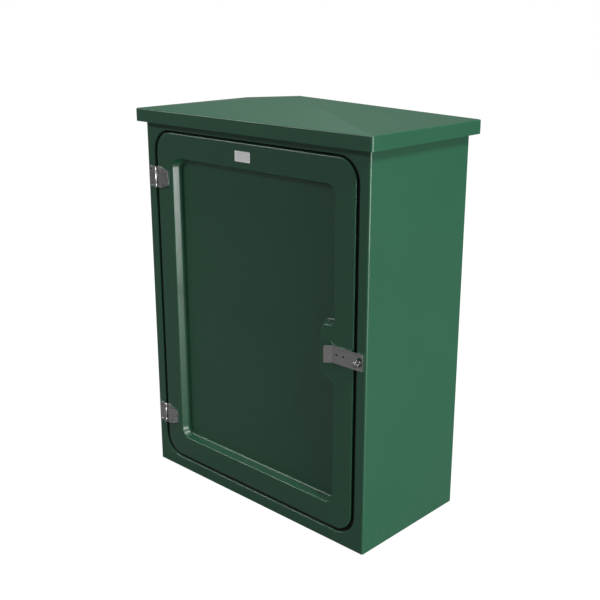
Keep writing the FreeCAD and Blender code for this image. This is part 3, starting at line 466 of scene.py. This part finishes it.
def makePlywood():
    material, tree, shader, place = newMaterial("plywoodBoard")
    grain = useGroup(tree, grainRings, -900, 200, {"Vector": place, "Ring Scale": plywood["ringScale"],
                                                   "Ring Count": plywood["ringCount"]})
    face = blendColours(tree, grain["Fac"], plywood["early"], plywood["late"], -600, 250)
    face = blendColours(tree, calc(tree, "MULTIPLY", grain["Pores"], plywood["poreAmount"], -600, 50), face,
                        plywood["pores"], -400, 200)
    # the edges show the plies, through the board's thickness
    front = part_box("backboard")[0][1]
    depth = calc(tree, "SUBTRACT", splitAxes(tree, place, -1150, -200)["Y"], front, -950, -200)
    plies = calc(tree, "PINGPONG", depth, plywood["ply"], -750, -200)
    ply = blendColours(tree, remap(tree, plies, 0.0010, 0.0014, 0.0, 1.0, -550, -200), plywood["crossPly"],
                       plywood["longPly"], -350, -150)
    facing = splitAxes(tree, surfaceNormal(tree, -1150, -400), -950, -400)["Y"]
    edge = calc(tree, "LESS_THAN", calc(tree, "ABSOLUTE", facing, None, -750, -400), 0.5, -550, -400)
    feed(tree, blendColours(tree, edge, face, ply, -150, 200), shader.inputs["Base Color"])
    feed(tree, remap(tree, grain["Pores"], 0.0, 1.0, *plywood["roughness"], -400, -300),
         shader.inputs["Roughness"])
    addBump(tree, shader, grain["Pores"], plywood["relief"], 0.6)
    return material


sawnWood = {
    "early": (0.42, 0.28, 0.15, 1), "late": (0.62, 0.46, 0.28, 1), "pores": (0.28, 0.17, 0.09, 1),
    "poreAmount": 0.4, "ringScale": 30.0, "roughness": (0.6, 0.85), "sawMarks": (30, 30, 700), "relief": 0.0002,
}


def makeTimber():
    material, tree, shader, place = newMaterial("sawnTimber")
    grain = useGroup(tree, grainRings, -900, 200, {"Vector": place, "Ring Scale": sawnWood["ringScale"]})
    colour = blendColours(tree, grain["Fac"], sawnWood["early"], sawnWood["late"], -600, 200)
    colour = blendColours(tree, calc(tree, "MULTIPLY", grain["Pores"], sawnWood["poreAmount"], -600, 0), colour,
                          sawnWood["pores"], -300, 200)
    feed(tree, colour, shader.inputs["Base Color"])
    feed(tree, remap(tree, grain["Pores"], 0.0, 1.0, *sawnWood["roughness"], -400, -300),
         shader.inputs["Roughness"])
    saw = noise(tree, stretched(tree, place, sawnWood["sawMarks"], -1100, -500), 1.0, 2.0, 0.5, -900, -500)
    addBump(tree, shader, saw, sawnWood["relief"])
    return material


finishes = {
    "body_shell": makeGelCoat("bodyGelCoat", bodyRoughSide, gelCoat["wallDust"]),
    "door": makeGelCoat("doorGelCoat", doorRoughSide, gelCoat["wallDust"]),
    "roof_canopy": makeGelCoat("roofGelCoat", roofRoughSide, gelCoat["roofDust"]),
    "door_seal": makeRubber(),
    "label_plate": makeLabelPlate(),
    "backboard": makePlywood(),
}
rolledSteel = makeMetal("rolledZincSteel", "rolled")
brightZinc = makeMetal("brightZinc", "bright")
# its dark base colour is partly painted shade of the countersinks round the heads
screwFinishWithShade = makeMetal("screwDarkFinishAndShade", "screw")
castEye = makeMetal("castEye", "eye")
timber = makeTimber()
for name in nodes:
    if name.endswith("_leaf") or name == "hasp":
        finishes[name] = rolledSteel
    elif name == "staple_eye":
        finishes[name] = castEye
    elif name.endswith("_batten"):
        finishes[name] = timber
    elif name not in finishes:
        finishes[name] = brightZinc
for name, material in finishes.items():
    nodes[name].data.materials.clear()
    nodes[name].data.materials.append(material)
print("finishes on", len(finishes), "nodes")


# metalwork with its edges taken off: smooth-edged copies stand for the CAD leaves, hasp and staple

softEdges = {
    "width": 0.0002, "segments": 2,
    "sharp": 35,                    # degrees; an edge that turns by more is taken off
    "merge": 0.000004, "flat": 0.5,
    "pieces": {"upper_frame_leaf": "cabinet", "lower_frame_leaf": "cabinet", "upper_door_leaf": "door",
               "lower_door_leaf": "door", "hasp": "door", "staple_eye": "staple"},
}


def pickOnly(*pieces):
    bpy.ops.object.select_all(action="DESELECT")
    for piece in pieces:
        piece.select_set(True)
    bpy.context.view_layer.objects.active = pieces[0]


def softCopy(node, body):
    piece = bpy.data.objects.new(node + "_soft", nodes[node].data.copy())
    scene.collection.objects.link(piece)
    pickOnly(piece)
    bpy.ops.object.mode_set(mode="EDIT")
    bpy.ops.mesh.select_all(action="SELECT")
    bpy.ops.mesh.remove_doubles(threshold=softEdges["merge"])
    bpy.ops.mesh.dissolve_limited(angle_limit=math.radians(softEdges["flat"]))
    bpy.ops.mesh.normals_make_consistent(inside=False)
    bpy.ops.object.mode_set(mode="OBJECT")
    bevel = piece.modifiers.new("takenOff", "BEVEL")
    bevel.width = softEdges["width"]
    bevel.segments = softEdges["segments"]
    bevel.limit_method = "ANGLE"
    bevel.angle_limit = math.radians(softEdges["sharp"])
    bevel.use_clamp_overlap = False
    bpy.ops.object.modifier_apply(modifier="takenOff")
    bpy.ops.object.shade_smooth_by_angle(angle=math.radians(softEdges["sharp"]))
    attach(piece, body)
    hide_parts(node)


for node, body in softEdges["pieces"].items():
    softCopy(node, body)
print("metalwork softened")


# cross-recess countersunk screws: one is modelled along Z for each length, then copied to its places

crossScrew = {
    "sides": 32, "sharp": 35,
    "headRadius": 0.0027, "crown": 0.00025, "crownTop": 0.62, "rim": 0.0002, "cone": 0.0012, "neck": 0.0012,
    "shank": 0.0020, "root": 0.0016, "pitch": 0.0007, "tip": 0.0006, "tipEnd": 0.7,
    "recess": (0.0040, 0.0010, 0.0016), "recessFoot": (0.45, 0.7, 1), "clear": 0.0002,
    "sunk": 0.0012,                 # head below the front of the CAD screw
    "cadHead": 0.0038,              # half the width of the CAD screw's head
    "turned": (23, 37),             # degrees the first one is turned, and each next one more
}


def pickFace(piece, height):
    # the one flat face at this height
    bpy.ops.object.mode_set(mode="OBJECT")
    for part in (piece.data.vertices, piece.data.edges, piece.data.polygons):
        for item in part:
            item.select = False
    for face in piece.data.polygons:
        face.select = abs(face.center.z - height) < 0.00001 and abs(face.normal.z) > 0.9
    bpy.ops.object.mode_set(mode="EDIT")


def drawOut(depth, grow, height):
    # pulls the picked face along Z and widens or narrows it
    bpy.ops.mesh.extrude_region_move(TRANSFORM_OT_translate={"value": (0, 0, depth)})
    bpy.ops.transform.resize(value=(grow, grow, 1), center_override=(0, 0, height + depth))
    return height + depth


def makeShank(name, length):
    look = crossScrew
    bpy.ops.object.select_all(action="DESELECT")
    bpy.ops.mesh.primitive_cylinder_add(vertices=look["sides"], radius=look["headRadius"], depth=look["rim"],
                                        location=(0, 0, -look["rim"] / 2))
    screw = bpy.context.object
    screw.name = name
    bpy.ops.object.transform_apply(location=True, rotation=False, scale=False)
    bpy.ops.object.mode_set(mode="EDIT")
    bpy.ops.mesh.select_mode(type="FACE")
    pickFace(screw, 0)
    drawOut(look["crown"], look["crownTop"], 0)
    pickFace(screw, -look["rim"])
    level = drawOut(-look["cone"], look["shank"] / look["headRadius"], -look["rim"])
    level = drawOut(-look["neck"], 1, level)
    inward = look["root"] / look["shank"]
    while level - look["pitch"] - look["tip"] > -length:
        level = drawOut(-look["pitch"] / 2, inward, level)
        level = drawOut(-look["pitch"] / 2, 1 / inward, level)
    drawOut(-length - level, look["tipEnd"], level)
    bpy.ops.object.mode_set(mode="OBJECT")
    return screw


def makeDriver():
    # the tapered blade that is cut out of the head, twice
    long, wide, deep = crossScrew["recess"]
    top = crossScrew["crown"] + crossScrew["clear"]
    bpy.ops.object.select_all(action="DESELECT")
    bpy.ops.mesh.primitive_cube_add(size=1)
    driver = bpy.context.object
    driver.scale = (long, wide, deep)
    driver.location = (0, 0, top - deep / 2)
    bpy.ops.object.transform_apply(location=True, rotation=False, scale=True)
    bpy.ops.object.mode_set(mode="EDIT")
    bpy.ops.mesh.select_mode(type="FACE")
    pickFace(driver, top - deep)
    bpy.ops.transform.resize(value=crossScrew["recessFoot"], center_override=(0, 0, top - deep))
    bpy.ops.object.mode_set(mode="OBJECT")
    return driver


def makeScrew(name, length):
    screw = makeShank(name, length)
    driver = makeDriver()
    for turn in (0, 90):
        driver.rotation_euler = (0, 0, math.radians(turn))
        bpy.context.view_layer.update()
        pickOnly(screw)
        cut = screw.modifiers.new("driverSlot", "BOOLEAN")
        cut.operation = "DIFFERENCE"
        cut.solver = "EXACT"
        cut.object = driver
        bpy.ops.object.modifier_apply(modifier="driverSlot")
    bpy.data.objects.remove(driver)
    pickOnly(screw)
    bpy.ops.object.shade_smooth_by_angle(angle=math.radians(crossScrew["sharp"]))
    return screw


def setScrews(name, node, body, spots):
    # spots are the X and Z of each head; the heads look towards -Y
    low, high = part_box(node)
    face = low[1] + crossScrew["sunk"]
    first = makeScrew(name, high[1] - low[1] - crossScrew["sunk"])
    start, more = crossScrew["turned"]
    copies = []
    for step, (x, z) in enumerate(spots):
        piece = bpy.data.objects.new(name + "_" + str(step), first.data.copy())
        scene.collection.objects.link(piece)
        turn = Matrix.Rotation(math.radians(start + more * step), 4, "Z")
        piece.matrix_world = Matrix.Translation((x, face, z)) @ Matrix.Rotation(math.radians(90), 4, "X") @ turn
        copies.append(piece)
    bpy.data.objects.remove(first)
    pickOnly(*copies)
    bpy.ops.object.transform_apply(location=True, rotation=True, scale=True)
    bpy.ops.object.join()
    piece = bpy.context.object
    piece.name = name
    piece.data.materials.clear()
    piece.data.materials.append(screwFinishWithShade)
    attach(piece, body)
    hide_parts(node)


def middle(node, axis):
    low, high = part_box(node)
    return (low[axis] + high[axis]) / 2


def ends(node, axis):
    # middles of the outermost screws of a node
    low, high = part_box(node)
    return low[axis] + crossScrew["cadHead"], high[axis] - crossScrew["cadHead"]


hingeHeights = [middle("lower_door_leaf", 2), middle("upper_door_leaf", 2)]
spread = hingeHeights[0] - ends("hinge_frame_screws", 2)[0]
frameX = middle("hinge_frame_screws", 0)
inner, outer = ends("hinge_door_screws", 0)
lowBoard, highBoard = ends("backboard_screws", 2)
setScrews("frameLeafScrews", "hinge_frame_screws", "cabinet",
          [(frameX, height + side * spread) for height in hingeHeights for side in (-1, 1)])
setScrews("doorLeafScrews", "hinge_door_screws", "door",
          [place for height in hingeHeights
           for place in ((inner, height - spread), (inner, height + spread), (outer, height))])
setScrews("haspScrews", "hasp_screws", "door", [(x, middle("hasp_screws", 2)) for x in ends("hasp_screws", 0)])
setScrews("boardScrews", "backboard_screws", "cabinet",
          [(x, z) for x in ends("backboard_screws", 0)
           for z in (lowBoard, middle("backboard_screws", 2), highBoard)])
print("screws set")


# floor, light and camera

stage = {
    "floorSize": 30.0,
    "floorDrop": 0.0005,                      # below the foot of the cabinet
    "floorRoughness": 0.9,
    "floorColour": (0.15, 0.15, 0.15, 1),     # what the light bounces off
    "seenColour": (0.08, 0.08, 0.08, 1),      # the little that the camera sees of it, so a faint shadow stays
    "whiteNear": 0.95,                        # the plain white under that, beside the cabinet and farther off
    "whiteFar": 1.0,
    "nearReach": (0.8, 2.2),
    "insideShade": 0.8,                       # painted shade: how much of the white glow is taken off the ground inside the cabinet
    "insideWall": 0.0025,                     # from the outside of the shell to the edge of that shade
    "ambient": (0.12, 0.12, 0.12, 1),
    "whiteInGloss": 0.10,                     # how much of the white room metal and gel coat reflect
    "floorInGloss": 0.05,                     # and how much of the white floor
    "aimHeight": 0.55,                        # where the lamps point, above the middle of the plan
}


def makeFloor():
    bpy.ops.object.select_all(action="DESELECT")
    bpy.ops.mesh.primitive_plane_add(size=stage["floorSize"], location=(0, 0, -stage["floorDrop"]))
    floor = bpy.context.object
    floor.name = "studioFloor"
    bpy.ops.object.transform_apply(location=True, rotation=False, scale=False)
    paint, tree, shader, place = newMaterial("studioFloorPaint")
    shader.inputs["Roughness"].default_value = stage["floorRoughness"]
    shader.inputs["Specular IOR Level"].default_value = 0.0
    path = addNode(tree, "LightPath", 0, 400)
    feed(tree, blendColours(tree, path.outputs["Is Camera Ray"], stage["floorColour"], stage["seenColour"],
                            300, 100), shader.inputs["Base Color"])
    away = addNode(tree, "VectorMath", -300, 600, operation="LENGTH")
    feed(tree, place, away.inputs[0])
    white = remap(tree, away.outputs["Value"], *stage["nearReach"], stage["whiteNear"], stage["whiteFar"], 0, 600)
    # painted shade on the ground inside the cabinet: the white glow is cut within the shell's plan
    low, high = insetBox("body_shell", stage["insideWall"])
    at = splitAxes(tree, place, -1200, 900)
    under = calc(tree, "MULTIPLY", between(tree, at["X"], low[0], high[0], 900),
                 between(tree, at["Y"], low[1], high[1], 1100), -400, 1000)
    kept = calc(tree, "SUBTRACT", 1.0, calc(tree, "MULTIPLY", under, stage["insideShade"], -200, 900), 0, 900)
    seen = calc(tree, "MAXIMUM", path.outputs["Is Camera Ray"],
                calc(tree, "MULTIPLY", path.outputs["Is Glossy Ray"], stage["floorInGloss"], 200, 400), 350, 400)
    glow = addNode(tree, "Emission", 600, 300)
    feed(tree, calc(tree, "MULTIPLY", calc(tree, "MULTIPLY", white, kept, 200, 800), seen, 450, 500),
         glow.inputs["Strength"])
    both = addNode(tree, "AddShader", 800, 200)
    feed(tree, shader.outputs[0], both.inputs[0])
    feed(tree, glow.outputs[0], both.inputs[1])
    feed(tree, both.outputs[0], tree.nodes["Material Output"].inputs["Surface"])
    floor.data.materials.append(paint)


def makeRoom():
    # white to the camera and through glass, faint in reflections, and dim as light on the cabinet
    world = bpy.data.worlds.new("studioRoom")
    scene.world = world
    world.use_nodes = True
    tree = world.node_tree
    dim = tree.nodes["Background"]
    dim.inputs["Color"].default_value = stage["ambient"]
    white = addNode(tree, "Background", 0, -200)
    white.inputs["Color"].default_value = (1, 1, 1, 1)
    path = addNode(tree, "LightPath", -600, 300)
    seen = calc(tree, "MULTIPLY", path.outputs["Is Glossy Ray"], stage["whiteInGloss"], -300, 200)
    seen = calc(tree, "MAXIMUM", seen, path.outputs["Is Transmission Ray"], -200, 300)
    pick = addNode(tree, "MixShader", 200, 100)
    feed(tree, calc(tree, "MAXIMUM", path.outputs["Is Camera Ray"], seen, -100, 400), pick.inputs[0])
    feed(tree, dim.outputs[0], pick.inputs[1])
    feed(tree, white.outputs[0], pick.inputs[2])
    feed(tree, pick.outputs[0], tree.nodes["World Output"].inputs["Surface"])


lamps = {
    # name: azimuth and elevation it shines from (0 is in front of the door, 90 on the hasp's side), distance,
    # width and height, watts
    "sideLow": (84, -4, 5.0, (0.8, 0.5), 225),
    "sideBack": (104, 20, 5.0, (1.2, 1.2), 24),
    "topSoft": (60, 86, 5.0, (1.6, 1.6), 50),
    "topSide": (84, 52, 9.0, (2.0, 2.0), 930),
    "frontKey": (-48, 29, 5.0, (0.45, 0.45), 96),
    "backHigh": (-132, 67, 5.0, (0.9, 0.9), 78),
}
camera = {
    "place": (1.7473, -1.8392, 1.3361),
    "looks": (-0.6573, 0.6923, -0.2977),
    "lens": 57.63, "film": 36, "far": 100,
}

makeFloor()
makeRoom()
aim = Vector((0, 0, stage["aimHeight"]))
for name, (azimuth, elevation, distance, (wide, tall), watts) in lamps.items():
    around, up = math.radians(azimuth), math.radians(elevation)
    towards = Vector((math.sin(around) * math.cos(up), -math.cos(around) * math.cos(up), math.sin(up)))
    bpy.ops.object.light_add(type="AREA", location=aim + towards * distance)
    lamp = bpy.context.object
    lamp.name = name
    lamp.rotation_euler = towards.to_track_quat("Z", "Y").to_euler()
    lamp.data.shape = "RECTANGLE"
    lamp.data.size = wide
    lamp.data.size_y = tall
    lamp.data.energy = watts
bpy.ops.object.camera_add(location=camera["place"])
eye = bpy.context.object
eye.rotation_euler = Vector(camera["looks"]).to_track_quat("-Z", "Y").to_euler()
eye.data.lens = camera["lens"]
eye.data.sensor_width = camera["film"]
eye.data.clip_end = camera["far"]
scene.camera = eye
scene.view_settings.view_transform = "Standard"
print("stage and camera set")
